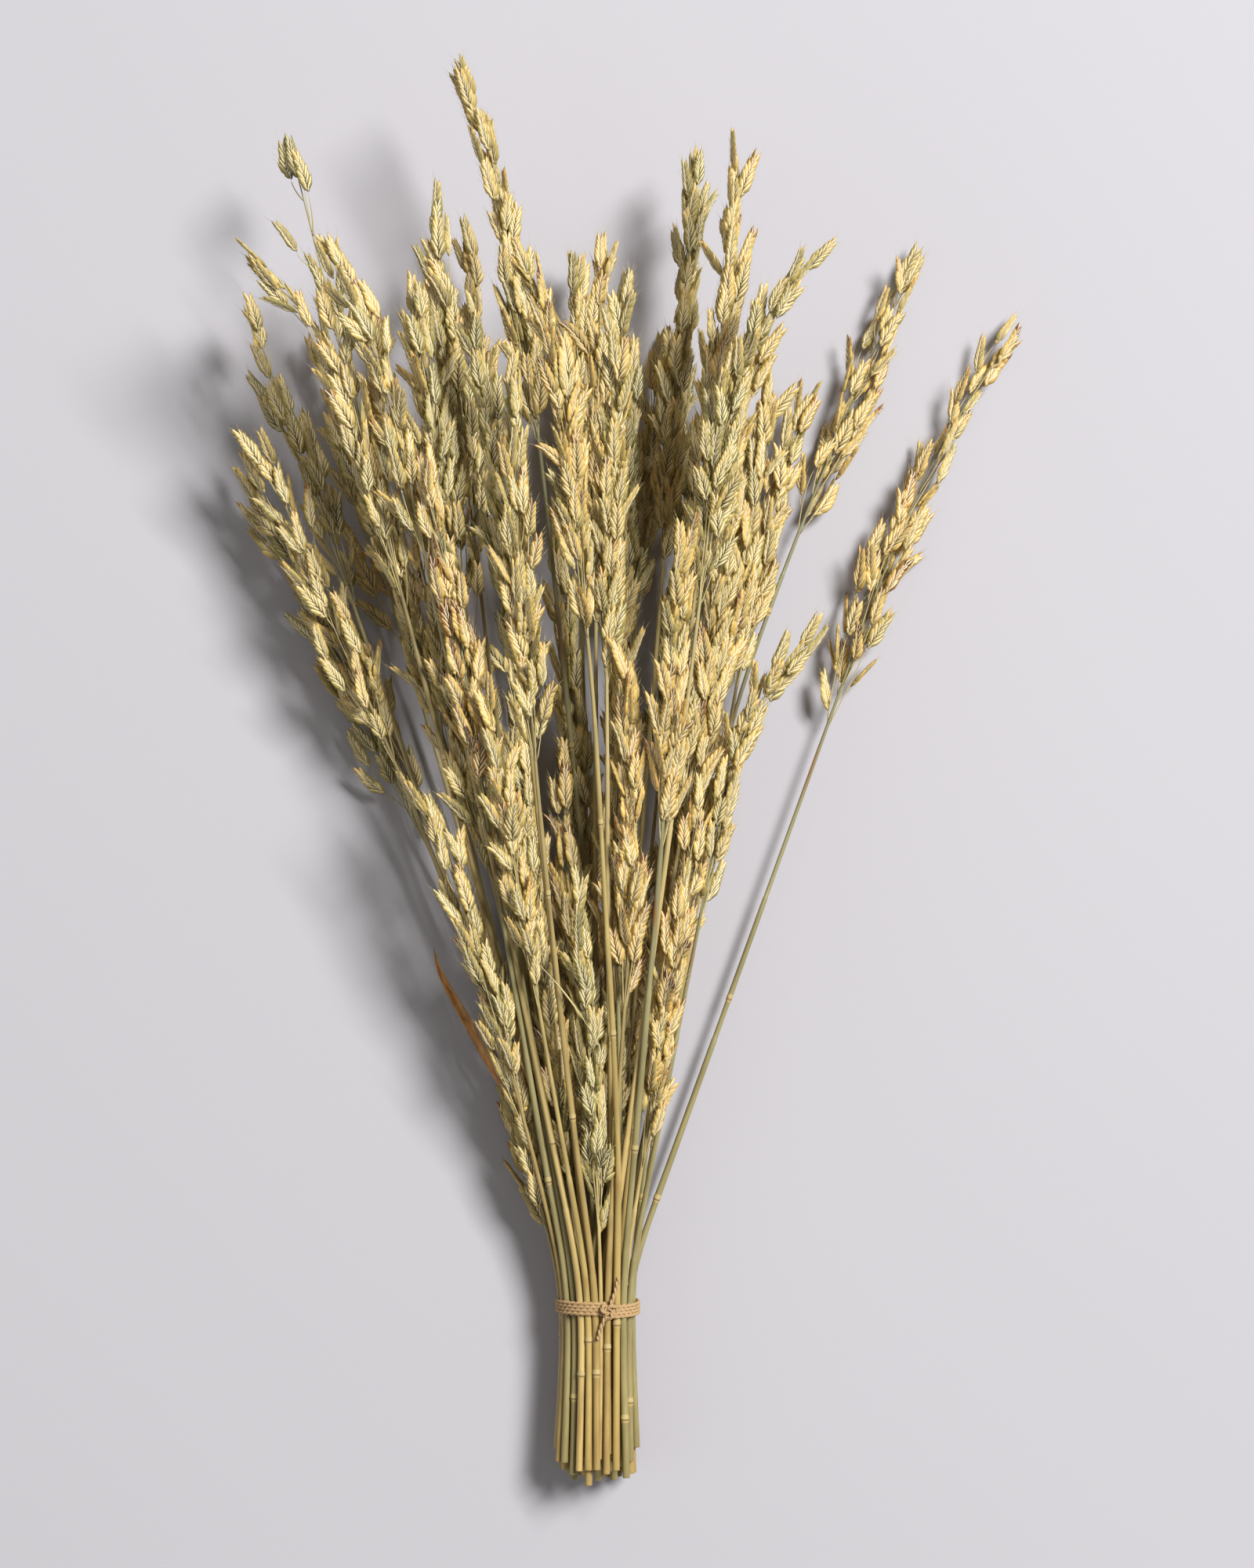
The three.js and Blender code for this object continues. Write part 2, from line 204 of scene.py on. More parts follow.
def skin(rings, card, finish, lengthways=None, lies_across=False):
    """The closed skins over many spindles at once. rings[n, k, j] is point j of ring k of
    spindle n; the first and last ring of each are single points. card[n] is the corner and
    the size of the spindle's patch on the map: across it runs the turn round the ring, and
    up it the ring's place, lengthways[k], from 0 to 1, or the other way about if the patch
    lies across. finish is the number of the material."""
    count, ring_count, sides = rings.shape[:3]
    if lengthways is None:
        lengthways = np.linspace(0, 1, ring_count)
    j = np.arange(sides)
    after = (j + 1) % sides
    body = 1 + np.arange(ring_count - 3)[:, None] * sides
    lower, lower_next = body + j, body + after
    upper, upper_next = lower + sides, lower_next + sides
    last = 1 + (ring_count - 2) * sides
    faces = np.concatenate(
        [
            np.stack([0 * j, 1 + j, 1 + after], axis=-1),
            np.stack([lower, upper, upper_next], axis=-1).reshape(-1, 3),
            np.stack([lower, upper_next, lower_next], axis=-1).reshape(-1, 3),
            np.stack([last - sides + j, 0 * j + last, last - sides + after], axis=-1),
        ]
    )
    k = np.broadcast_to(1 + np.arange(ring_count - 3)[:, None], body.shape[:1] + (sides,))
    jj = np.broadcast_to(j, k.shape)
    round_by = np.concatenate(
        [
            np.stack([j + 0.5, j, j + 1.0], axis=-1),
            np.stack([jj, jj, jj + 1], axis=-1).reshape(-1, 3),
            np.stack([jj, jj + 1, jj + 1], axis=-1).reshape(-1, 3),
            np.stack([j, j + 0.5, j + 1.0], axis=-1),
        ]
    )
    along_by = np.concatenate(
        [
            np.stack([0 * j, 0 * j + 1, 0 * j + 1], axis=-1),
            np.stack([k, k + 1, k + 1], axis=-1).reshape(-1, 3),
            np.stack([k, k + 1, k], axis=-1).reshape(-1, 3),
            ring_count - 2 + np.stack([0 * j, 0 * j + 1, 0 * j], axis=-1),
        ]
    )
    along_by = along_by.astype(int)
    patch = np.stack([round_by / sides, np.asarray(lengthways)[along_by]], axis=-1)
    if lies_across:
        patch = patch[..., ::-1]
    points = np.concatenate(
        [rings[:, :1, 0], rings[:, 1:-1].reshape(count, -1, 3), rings[:, -1:, 0]], axis=1
    )
    return {
        "points": points.reshape(-1, 3),
        "faces": (faces + points.shape[1] * np.arange(count)[:, None, None]).reshape(-1, 3),
        "map": (card[:, None, None, :2] + patch * card[:, None, None, 2:]).reshape(-1, 3, 2),
        "finish": np.full(count * len(faces), finish),
        "ring": np.tile(along_by, (count, 1)),
    }


def joined(skins):
    """Several skins as one."""
    start = np.cumsum([0] + [len(each["points"]) for each in skins[:-1]])
    whole = {}
    for key in ("points", "map", "finish"):
        whole[key] = np.concatenate([each[key] for each in skins])
    whole["faces"] = np.concatenate([each["faces"] + first for each, first in zip(skins, start)])
    return whole


def piece(name, shape, finishes):
    """A new object made of one skin, smooth all over, with its map."""
    mesh = bpy.data.meshes.new(name)
    mesh.vertices.add(len(shape["points"]))
    mesh.vertices.foreach_set("co", shape["points"].ravel())
    mesh.loops.add(shape["faces"].size)
    mesh.loops.foreach_set("vertex_index", shape["faces"].ravel())
    mesh.polygons.add(len(shape["faces"]))
    mesh.polygons.foreach_set("loop_start", np.arange(0, shape["faces"].size, 3))
    mesh.polygons.foreach_set("material_index", shape["finish"])
    mesh.update(calc_edges=True)
    mesh.uv_layers.new(name="OFBake").data.foreach_set("uv", shape["map"].ravel())
    mesh.shade_smooth()
    for finish in finishes:
        mesh.materials.append(finish)
    obj = bpy.data.objects.new(name, mesh)
    bpy.context.collection.objects.link(obj)
    return obj


# The map of a stalk is laid out like a colour card. Its lowest eighth holds four strips
# for straws, which run lengthways. Then come two for the fine stalks, one for the joints
# and one for the bristles. The upper three quarters are squares for the scales, twelve
# rows of sixteen.
CARD_STRIP = 1 / 32
CARD_SQUARE = 1 / 16
STRAW_STRIPS = 4
FINE_STRIPS = (4, 6)
JOINT_STRIP = 6
AWN_STRIP = 7
SCALE_FIRST_ROW = 4
SCALE_ROWS = 12
SCALE_COLUMNS = 16
CARD_INSET = 0.06


def strip(number):
    """The corner and size of each numbered strip on the card."""
    low_edge = (number + CARD_INSET) * CARD_STRIP
    height = np.full(len(number), (1 - 2 * CARD_INSET) * CARD_STRIP)
    return np.stack([0.002 + 0 * low_edge, low_edge, 0.996 + 0 * low_edge, height], axis=1)


STRAW, JOINT, FINE, SCALE = range(4)


def straw_skin(line, neck, foot_radius, neck_radius, rng):
    """A straw's skin. The profile starts at the bottom of the hollow, comes out over the cut
    rim, and runs up the outside, where it swells at each joint and steps in where a sheath
    ends."""
    length = line["far"][-1]
    joints = []
    sheaths = []
    joint = rng.uniform(*FIRST_JOINT) * JOINT_SPACING[0]
    while joint < neck - LAST_JOINT:
        joints.append(joint)
        sheaths.append(min(rng.uniform(*SHEATH_LENGTH), neck - BARE_NECK - joint))
        joint += rng.uniform(*JOINT_SPACING)
    near = np.add.outer(joints, JOINT_LENGTH * JOINT_RINGS).ravel()
    ends = np.add.outer(np.add(joints, sheaths), [-SHEATH_STEP, SHEATH_STEP]).ravel()
    far = np.arange(1.5 * MM, length - 8 * MM, STRAW_RING_STEP)
    far = np.unique(np.concatenate([[0.25 * MM], far, near, ends]).round(5))
    share = np.clip(far / neck, 0, 1)
    past = np.clip((far - neck) / (length - neck), 0, 1)
    radius = foot_radius + (neck_radius - foot_radius) * share
    radius = radius + (HEAD_STALK_TIP - neck_radius) * past**0.6
    for joint, sheath in zip(joints, sheaths):
        offset = (far - joint) / JOINT_LENGTH
        radius = radius * (1 + (JOINT_SWELL - 1) * np.exp(-((1.8 * offset) ** 2)))
        radius = radius + SHEATH_WALL * ((offset > 0.1) & (far < joint + sheath))
    bore = foot_radius * (1 - STRAW_WALL)
    start_far = np.array([HOLLOW_DEPTH, HOLLOW_DEPTH, 0.3 * MM, 0, 0])
    start_radius = np.array([0, bore * 0.9, bore, bore + 0.05 * MM, foot_radius - 0.06 * MM])
    far = np.concatenate([start_far, far, [length - 6 * MM]])
    radius = np.concatenate([start_radius, radius, [0]])
    rings = rings_along(line, far, radius, STRAW_SIDES)[None]
    own_strip = rng.integers(STRAW_STRIPS)
    shape = skin(rings, strip(np.array([own_strip])), STRAW, far / length, True)
    place = far[shape["ring"]] / JOINT_LENGTH
    for joint in joints:
        offset = place - joint / JOINT_LENGTH
        is_near = np.abs(offset).max(axis=1) < 0.85
        shape["finish"][is_near] = JOINT
        shape["map"][is_near, :, 0] = offset[is_near] / 2 + 0.5
        shape["map"][is_near, :, 1] += (JOINT_STRIP - own_strip) * CARD_STRIP
    return shape


def colour_nodes(name, roughness, specular):
    """A new material whose Principled node has this roughness, and the map's two numbers as
    node outputs."""
    finish = bpy.data.materials.new(name)
    finish.use_nodes = True
    tree = finish.node_tree
    surface = tree.nodes["Principled BSDF"]
    surface.inputs["Roughness"].default_value = roughness
    surface.inputs["Specular IOR Level"].default_value = specular
    spot = tree.nodes.new("ShaderNodeUVMap")
    spot.uv_map = "OFBake"
    apart = tree.nodes.new("ShaderNodeSeparateXYZ")
    tree.links.new(spot.outputs["UV"], apart.inputs[0])
    return finish, surface, apart.outputs["X"], apart.outputs["Y"]


def sum_of(tree, kind, first, second=0.0, third=None):
    """One step of arithmetic on numbers or outputs, as a node's output."""
    node = tree.nodes.new("ShaderNodeMath")
    node.operation = kind
    for socket, value in zip(node.inputs, (first, second, third)):
        if hasattr(value, "node"):
            tree.links.new(value, socket)
        elif value is not None:
            socket.default_value = value
    return node.outputs[0]


def ramp(tree, value, stops):
    """A colour that runs through stops, each a place from 0 to 1 and a colour, by value."""
    node = tree.nodes.new("ShaderNodeValToRGB")
    band = node.color_ramp.elements
    while len(band) < len(stops):
        band.new(0.5)
    for element, (place, colour) in zip(band, stops):
        element.position = place
        element.color = (*colour, 1)
    tree.links.new(value, node.inputs[0])
    return node.outputs[0]


def mixed(tree, kind, amount, first, second):
    """Two colours mixed by amount, in the way that kind says."""
    node = tree.nodes.new("ShaderNodeMix")
    node.data_type = "RGBA"
    node.blend_type = kind
    sockets = (node.inputs[0], node.inputs[6], node.inputs[7])
    for socket, value in zip(sockets, (amount, first, second)):
        if hasattr(value, "node"):
            tree.links.new(value, socket)
        elif isinstance(value, float):
            socket.default_value = value
        else:
            socket.default_value = (*value, 1)
    return node.outputs[2]


def noise(tree, x, y, scale_x, scale_y, detail=2.0, seed=0.0):
    """Soft noise from 0 to 1 over the map, as fine as the two scales say."""
    place = tree.nodes.new("ShaderNodeCombineXYZ")
    tree.links.new(sum_of(tree, "MULTIPLY", x, scale_x), place.inputs[0])
    tree.links.new(sum_of(tree, "MULTIPLY", y, scale_y), place.inputs[1])
    place.inputs[2].default_value = seed
    node = tree.nodes.new("ShaderNodeTexNoise")
    node.inputs["Scale"].default_value = 1
    node.inputs["Detail"].default_value = detail
    tree.links.new(place.outputs[0], node.inputs["Vector"])
    return node.outputs[0]


STRAW_FOOT = (0.46, 0.32, 0.095)
STRAW_MIDDLE = (0.44, 0.335, 0.12)
STRAW_NECK = (0.36, 0.31, 0.14)
STRAW_STREAK = (0.24, 0.17, 0.07)
STRAW_RUST = (0.3, 0.12, 0.035)
STRAW_TINTS = [
    (0, (1, 1, 1)),
    (0.33, (0.66, 0.78, 1)),
    (0.66, (1.2, 1.22, 1.4)),
    (1, (0.85, 0.82, 0.85)),
]
STRAW_BLOTCHES = [(0.3, (0.72, 0.7, 0.68)), (0.6, (1.1, 1.1, 1.1))]
RUST_SPOTS = [(0.66, (0, 0, 0)), (0.76, (1, 1, 1))]


def straw_finish():
    """Golden at the foot and grey-green at the neck, with fine streaks lengthways and a tint
    of its own for each strip."""
    finish, surface, x, y = colour_nodes("straw", 0.42, 0.4)
    tree = finish.node_tree
    colour = ramp(tree, x, [(0, STRAW_FOOT), (0.45, STRAW_MIDDLE), (0.8, STRAW_NECK)])
    strip_number = sum_of(tree, "FLOOR", sum_of(tree, "DIVIDE", y, CARD_STRIP))
    tint = ramp(tree, sum_of(tree, "DIVIDE", strip_number, STRAW_STRIPS - 1), STRAW_TINTS)
    colour = mixed(tree, "MULTIPLY", 1.0, colour, tint)
    streaks = noise(tree, x, y, 30, 900, 3)
    dark = sum_of(tree, "MULTIPLY_ADD", streaks, 1.6, -0.62)
    colour = mixed(tree, "MIX", sum_of(tree, "MULTIPLY", dark, 0.6), colour, STRAW_STREAK)
    blotches = ramp(tree, noise(tree, x, y, 22, 60, 3, 5), STRAW_BLOTCHES)
    colour = mixed(tree, "MULTIPLY", 0.7, colour, blotches)
    rusty = ramp(tree, noise(tree, x, y, 11, 36, 2, 9), RUST_SPOTS)
    colour = mixed(tree, "MIX", sum_of(tree, "MULTIPLY", rusty, 0.6), colour, STRAW_RUST)
    tree.links.new(colour, surface.inputs["Base Color"])
    return finish


# The joints are the same straw, paler, with a dark line where the sheath is fixed.
JOINT_STOPS = [
    (0, (0.46, 0.33, 0.12)),
    (0.3, (0.48, 0.36, 0.15)),
    (0.42, (0.2, 0.11, 0.035)),
    (0.52, (0.5, 0.39, 0.18)),
    (0.7, (0.46, 0.35, 0.14)),
    (1, (0.46, 0.34, 0.13)),
]


def joint_finish():
    """Rings of colour across the joint, blurred a little by noise."""
    finish, surface, x, y = colour_nodes("straw joint", 0.5, 0.35)
    tree = finish.node_tree
    wander = sum_of(tree, "MULTIPLY_ADD", noise(tree, x, y, 4, 300), 0.12, -0.06)
    colour = ramp(tree, sum_of(tree, "ADD", x, wander), JOINT_STOPS)
    tree.links.new(colour, surface.inputs["Base Color"])
    return finish


# The heads. At each whorl along the fine stalk stand one to six thin branches, which hug
# it and end in a spikelet; the long ones carry more, each on a stalk of its own.
WHORL_SPACING = 20 * MM
WHORL_STRETCH = 0.9
BRANCH_TURN = 2.4
STEM_CLEARANCE = 3 * MM
SPIKELET_CLEARANCE = 4 * MM
SPIKELET_DROOP = 0.03
SPIKELET_WANDER = 0.09
FACES_OUT = 0.5
FACES_UP = 0.75
BRANCHES = (3.4, 2.0)
BRANCH_SHARE = (0.38, 0.11)
SHORTEST_BRANCH = (0.5, 0.15)
BRANCH_SPREAD = (2.5 * MM, 9 * MM)
BRANCH_RADIUS = 0.34 * MM
SPIKELET_EVERY = 21 * MM
PEDICEL_LENGTH = (2.5 * MM, 7 * MM)
PEDICEL_ANGLE = np.radians(15)
PEDICEL_RADIUS = 0.2 * MM
SPIKELET_LENGTH = (20 * MM, 26 * MM)
FINE_STOPS = [(0, (0.44, 0.38, 0.17)), (1, (0.62, 0.5, 0.25))]


def fine_finish():
    """A pale straw colour that varies slowly along each thin stalk."""
    finish, surface, x, y = colour_nodes("fine stalk", 0.5, 0.35)
    tree = finish.node_tree
    colour = ramp(tree, noise(tree, x, y, 12, 90), FINE_STOPS)
    tree.links.new(colour, surface.inputs["Base Color"])
    return finish


def tubes(centres, radius, sides):
    """Rings round many lines at once: point j of a ring stands radius off its centre, turned
    by j of the ring's sides about the line's own way there."""
    way = unit(np.gradient(centres, axis=1))
    across = unit(np.cross(way, (0.1, 0, 1)))
    up = np.cross(across, way)
    turn = 2 * np.pi * np.arange(sides)[:, None] / sides
    spokes = np.cos(turn) * across[:, :, None] + np.sin(turn) * up[:, :, None]
    return centres[:, :, None] + radius[..., None, None] * spokes


def pressed(points, height):
    """Points below height above the surface are pressed together smoothly, so that none goes
    through it."""
    z = points[..., 2:]
    squeezed = height * np.exp(np.minimum(z / height - 1, 0))
    return np.concatenate([points[..., :2], np.where(z < height, squeezed, z)], axis=-1)


def between(ends, share):
    """The value at share of the way between two ends."""
    return ends[0] + (ends[1] - ends[0]) * share


def head_plan(line, neck, fullness, openness, rng):
    """A head's fine stalks and spikelets, more of them if it is fuller. Each branch follows
    the head's own line, and moves off it quickly at first and then ever less, in its own
    direction round it, and farther in a more open head. Returns the skins of the stalks
    and, for each spikelet, its foot, way, flat side and length."""
    length = line["far"][-1] - neck
    whorl_count = int(round(length / WHORL_SPACING))
    number = between(BRANCHES, np.arange(whorl_count) / whorl_count)
    number = number * fullness + rng.uniform(-0.9, 0.9, whorl_count)
    number = np.maximum(np.round(number), 1).astype(int)
    share = np.repeat(np.arange(whorl_count) / whorl_count, number)
    count = len(share)
    start = neck + WHORL_STRETCH * length * share + rng.uniform(-2, 3, count) * MM
    angle = BRANCH_TURN * np.arange(count) + rng.uniform(-0.5, 0.5, count)
    reach = length * between(BRANCH_SHARE, share)
    reach = reach * rng.uniform(between(SHORTEST_BRANCH, share), 1)
    spread = rng.uniform(*BRANCH_SPREAD, count) * (1 - 0.45 * share) * openness
    sway = rng.uniform(-1, 1, (count, 1)) * 1.6 * MM

    def on_branch(t, which=slice(None)):
        """The points of branches at shares t of their length."""
        far = start[which, None] + reach[which, None] * t
        turn = angle[which, None, None]
        sideways = np.cos(turn) * on_line(line, far, "across")
        sideways = sideways + np.sin(turn) * on_line(line, far, "up")
        off = spread[which, None] * (1 - (1 - t) ** 1.8)
        points = on_line(line, far) + off[..., None] * sideways
        swayed = (sway[which] * np.sin(3 * t) * t)[..., None]
        return points + swayed * on_line(line, far, "across")

    t = np.linspace(0, 1, 8)[None]
    centres = pressed(on_branch(t), STEM_CLEARANCE)
    radius = BRANCH_RADIUS * np.array([0, 1, 0.9, 0.8, 0.72, 0.65, 0.6, 0]) * np.ones((count, 1))
    card = strip(rng.integers(*FINE_STRIPS, count))
    skins = [skin(tubes(centres, radius, 4), card, FINE, None, True)]

    feet = [centres[:, -1]]
    ways = [unit(centres[:, -1] - centres[:, -3])]
    angles = [angle]
    for step in (1, 2, 3):
        which = np.flatnonzero(reach > (step + 0.25) * SPIKELET_EVERY)
        if len(which) == 0:
            continue
        t = 1 - step * SPIKELET_EVERY / reach[which]
        t = (t + rng.uniform(-0.04, 0.04, len(which)))[:, None]
        ahead = np.concatenate([t, t + 0.03], axis=1)
        pair = pressed(on_branch(ahead, which), STEM_CLEARANCE)
        way = unit(pair[:, 1] - pair[:, 0])
        away = rng.choice([-1, 1], len(which)) * rng.uniform(0.6, 2, len(which))
        turn = (angle[which] + away)[:, None]
        across = unit(np.cross(way, (0.1, 0, 1)))
        side = np.cos(turn) * across + np.sin(turn) * np.cross(across, way)
        way = np.cos(PEDICEL_ANGLE) * way + np.sin(PEDICEL_ANGLE) * side
        foot = pair[:, 0] + way * rng.uniform(*PEDICEL_LENGTH, (len(which), 1))
        stretch = np.linspace(0, 1, 4)[:, None]
        bow = 0.4 * MM * np.sin(np.pi * stretch) * side[:, None]
        thread = pair[:, :1] * (1 - stretch) + foot[:, None] * stretch + bow
        radius = PEDICEL_RADIUS * np.array([0, 1, 0.9, 0]) * np.ones((len(which), 1))
        card = strip(rng.integers(*FINE_STRIPS, len(which)))
        skins.append(skin(tubes(thread, radius, 3), card, FINE, None, True))
        feet.append(foot)
        ways.append(way)
        angles.append(turn[:, 0])

    tip_length = 0.9 * SPIKELET_LENGTH[1]
    feet.append(on_line(line, line["far"][-1:] - tip_length))
    ways.append(on_line(line, line["far"][-1:] - tip_length / 2, "way"))
    angles.append(np.zeros(1))

    foot = np.concatenate(feet)
    angle = np.concatenate(angles)[:, None]
    wander = rng.normal(0, SPIKELET_WANDER, (len(foot), 3))
    way = unit(np.concatenate(ways) + wander - (0, 0, SPIKELET_DROOP))
    across = unit(np.cross(way, (0.1, 0, 1)))
    outward = np.cos(angle) * across + np.sin(angle) * np.cross(across, way)
    facing = FACES_OUT * outward + np.array([0, 0, FACES_UP])
    facing = facing + rng.normal(0, 0.5, (len(foot), 3))
    flat = unit(facing - (facing * way).sum(axis=1, keepdims=True) * way)
    foot = pressed(foot, SPIKELET_CLEARANCE)
    return skins, foot, way, flat, rng.uniform(*SPIKELET_LENGTH, len(foot))


# A spikelet is two short empty scales and ten to twelve full ones, set left and right in
# turn on a hidden stalk so that each overlaps the next, like a flat fish-bone. Each full
# scale is a boat with its keel outward, and ends in a fine bristle.
SCALE_COUNT = 14
EMPTY_SCALES = 2
SCALE_TIMES = np.array([0, 0.14, 0.42, 0.78, 1])
SCALE_DEPTHS = np.array([0.18, 0.08, -0.1, -0.16, -0.1, 0.08])
SCALE_HALF_WIDTHS = np.array([0, 0.1, 0.15, 0, -0.15, -0.1])
SPIKELET_BEND = np.radians(14)
EMPTY_TILT = 16
FULL_TILT = (23, 10)
AWN_LENGTH = (2.5 * MM, 6.5 * MM)
AWN_RADIUS = 0.11 * MM


def spikelet_skins(foot, way, flat, length, tone, rng):
    """The skins of many spikelets' scales and bristles. A scale's cross-section is a keeled
    hexagon, widest towards the inside, so that a scale clasps the foot of the next one up.
    It swells and closes along the scale by a sine."""
    spikelets = len(foot)
    j = np.arange(SCALE_COUNT) - EMPTY_SCALES
    last = SCALE_COUNT - EMPTY_SCALES - 1
    share = np.clip(j / last, 0, 1)
    side = np.where(j % 2 == 0, 1.0, -1.0)
    height = np.where(j < 0, 0.03 * (j + 2), 0.05 + 0.66 * share)
    size = np.where(j < 0, 0.29 + 0.04 * j, 0.36 - 0.08 * share)
    tilt = np.where(j < 0, EMPTY_TILT, between(FULL_TILT, share))
    tilt = np.radians(tilt)
    tilt = tilt * rng.uniform(0.7, 1.15, (spikelets, 1))
    tilt = tilt + rng.normal(0, 0.025, (spikelets, len(j)))
    bend = rng.normal(0, SPIKELET_BEND, (spikelets, 1)) * height
    tilt = tilt + bend * side
    size = size * rng.uniform(0.92, 1.06, tilt.shape)
    inside = (np.cross(way, flat)[:, None], way[:, None], flat[:, None])
    cos, sin = np.cos(tilt)[..., None], np.sin(tilt)[..., None]
    out = cos * side[:, None] * inside[0] - sin * inside[1]
    along = sin * side[:, None] * inside[0] + cos * inside[1]
    thick = np.cross(out, along)
    span = length[:, None]
    base = foot[:, None] + (span * height)[..., None] * inside[1]
    base = base + (span * (0.006 * side + 0.5 * bend * height))[..., None] * inside[0]
    scale_length = (span * size)[..., None, None, None]

    t = SCALE_TIMES[:, None, None]
    belly = np.sin(np.pi * t**0.75) ** 0.8
    deep = belly * SCALE_DEPTHS[:, None] + 0.04 * np.sin(np.pi * t)
    wide = belly * SCALE_HALF_WIDTHS[:, None]
    inside_scale = (along[:, :, None, None], out[:, :, None, None], thick[:, :, None, None])
    rings = t * inside_scale[0] + deep * inside_scale[1] + wide * inside_scale[2]
    rings = base[:, :, None, None] + scale_length * rings
    scale_tone = tone[:, None] + rng.normal(0, 0.035, tilt.shape)
    scale_tone = scale_tone + rng.uniform(-0.1, 0.45, (spikelets, 1)) * share**3
    column = np.clip(scale_tone * SCALE_COLUMNS, 0, SCALE_COLUMNS - 1).astype(int)
    row = SCALE_FIRST_ROW + rng.integers(SCALE_ROWS, size=tilt.shape)
    card = np.stack([column, row, 0 * row + 1, 0 * row + 1], axis=-1) * CARD_SQUARE
    card = card + CARD_SQUARE * CARD_INSET * np.array([1, 1, -2, -2])
    kept = np.ones(tilt.shape, bool)
    kept[:, -1] = rng.random(spikelets) < 0.5
    kept[:, -2] = kept[:, -1] | (rng.random(spikelets) < 0.6)
    scales = skin(rings[kept], card[kept], SCALE, SCALE_TIMES)

    full = kept & (j >= 0)
    point = (base + scale_length[..., 0, 0] * (0.94 * along + 0.02 * out))[full]
    way_out = unit((along + 0.1 * out)[full] + rng.normal(0, 0.05, (full.sum(), 3)))
    awn = rng.uniform(*AWN_LENGTH, (full.sum(), 1, 1)) * np.array([0, 0.12, 1])[:, None]
    centres = point[:, None] + awn * way_out[:, None]
    radius = AWN_RADIUS * np.array([0, 1, 0]) * np.ones((full.sum(), 1))
    card = strip(np.full(full.sum(), AWN_STRIP))
    awns = skin(tubes(centres, radius, 3), card, FINE, None, True)
    return [scales, awns]


SCALE_STOPS = [
    (0.0, (0.22, 0.2, 0.07)),
    (0.25, (0.35, 0.285, 0.09)),
    (0.5, (0.5, 0.365, 0.115)),
    (0.72, (0.58, 0.38, 0.1)),
    (0.88, (0.35, 0.18, 0.045)),
    (1.0, (0.17, 0.07, 0.022)),
]
SCALE_MARGIN = (0.86, 0.75, 0.5)
MARGIN_PLACES = [
    (0.12, (0, 0, 0)),
    (0.15, (1, 1, 1)),
    (0.19, (1, 1, 1)),
    (0.225, (0, 0, 0)),
]
SCALE_SHADES = [(0, (0.68, 0.72, 0.7)), (1, (1.36, 1.36, 1.42))]
SCALE_FLECK = (0.3, 0.16, 0.06)
# Along each scale: a darker foot, which is painted shade where the scale below covers it, then
# its own straw colour, then a brown dry tip, which is its real colour.
SCALE_FOOT_SHADE_AND_DRY_TIP = [
    (0, (0.42, 0.4, 0.34)),
    (0.3, (0.95, 0.94, 0.92)),
    (0.75, (1.08, 1.06, 1)),
    (0.93, (0.95, 0.8, 0.6)),
    (1, (0.65, 0.45, 0.3)),
]
SCALE_VEINS = 7


def scale_finish():
    """Each square of the card has its own colour, greener to the left and browner to the right,
    lighter or darker by a random amount. Within a square the colour runs from painted shade at
    the scale's foot, where the scale below covers it, through its own straw colour to its dry
    brown tip, with pale margins and fine veins lengthways."""
    finish, surface, x, y = colour_nodes("scale", 0.5, 0.35)
    tree = finish.node_tree
    column = sum_of(tree, "MULTIPLY", x, SCALE_COLUMNS)
    row = sum_of(tree, "MULTIPLY", y, SCALE_COLUMNS)
    corner = tree.nodes.new("ShaderNodeCombineXYZ")
    tree.links.new(sum_of(tree, "FLOOR", column), corner.inputs[0])
    tree.links.new(sum_of(tree, "FLOOR", row), corner.inputs[1])
    chance = tree.nodes.new("ShaderNodeTexWhiteNoise")
    chance.noise_dimensions = "2D"
    tree.links.new(corner.outputs[0], chance.inputs["Vector"])
    around = sum_of(tree, "FRACT", column)
    along = sum_of(tree, "FRACT", row)
    ripe = sum_of(tree, "DIVIDE", sum_of(tree, "FLOOR", column), SCALE_COLUMNS - 1)
    colour = ramp(tree, ripe, SCALE_STOPS)
    shade = ramp(tree, chance.outputs["Value"], SCALE_SHADES)
    colour = mixed(tree, "MULTIPLY", 1.0, colour, shade)
    # Painted shade at the scale's foot, and the real browning of its dry tip.
    lengthways = ramp(tree, along, SCALE_FOOT_SHADE_AND_DRY_TIP)
    colour = mixed(tree, "MULTIPLY", 1.0, colour, lengthways)
    from_keel = sum_of(tree, "ABSOLUTE", sum_of(tree, "SUBTRACT", around, 0.5))
    margin = ramp(tree, from_keel, MARGIN_PLACES)
    colour = mixed(tree, "MIX", sum_of(tree, "MULTIPLY", margin, 0.85), colour, SCALE_MARGIN)
    wave = sum_of(tree, "SINE", sum_of(tree, "MULTIPLY", around, 2 * np.pi * SCALE_VEINS))
    veins = sum_of(tree, "MULTIPLY_ADD", wave, 0.07, 0.96)
    grey = tree.nodes.new("ShaderNodeCombineXYZ")
    for socket in grey.inputs:
        tree.links.new(veins, socket)
    colour = mixed(tree, "MULTIPLY", 1.0, colour, grey.outputs[0])
    flecks = noise(tree, x, y, 260, 260, 3, 2)
    fleck = ramp(tree, flecks, [(0.62, (0, 0, 0)), (0.78, (1, 1, 1))])
    colour = mixed(tree, "MIX", sum_of(tree, "MULTIPLY", fleck, 0.35), colour, SCALE_FLECK)
    tree.links.new(colour, surface.inputs["Base Color"])
    return finish


